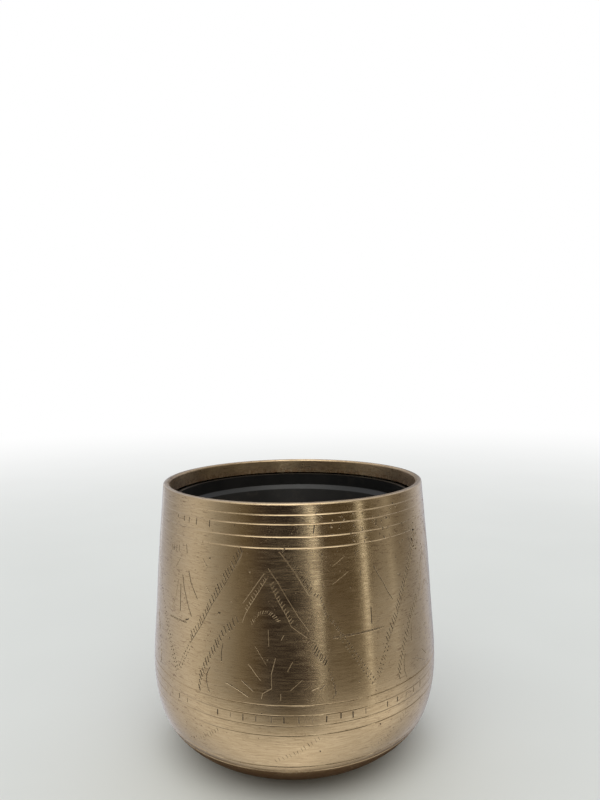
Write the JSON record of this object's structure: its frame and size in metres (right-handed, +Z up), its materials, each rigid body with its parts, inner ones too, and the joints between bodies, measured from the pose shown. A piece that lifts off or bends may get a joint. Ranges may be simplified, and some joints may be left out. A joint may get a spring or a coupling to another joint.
{
  "type": "planter pot",
  "caption": "Round brass planter pot with tapered wall, rounded belly, turned lines round the neck and belly, and a lift-out black liner.",
  "frame": {"origin": "on the pot's axis, at the level of the surface that it stands on", "axes": "+Z up along the pot's axis; the engraved front faces -Y and +X is to its right"},
  "size_m": [0.1802, 0.1802, 0.168],
  "materials": {
    "brass_outside": "turned and brushed, hand engraved, lightly aged",
    "brass_band": "turned, lightly aged",
    "brass_base": "dull, unpolished",
    "felt": "pressed felt",
    "liner_plastic": "moulded, matt"
  },
  "bodies": {
    "pot": {"pot_body": "brass_outside", "rim_band": "brass_band", "base_plate": "brass_base", "foot_pads": "felt"},
    "liner": {"liner": "liner_plastic"}
  },
  "joints": [
    {"name": "liner_lift", "type": "slide", "parent": "pot", "child": "liner", "axis": [0, 0, 1], "range_m": [0, 0.165]}
  ]
}
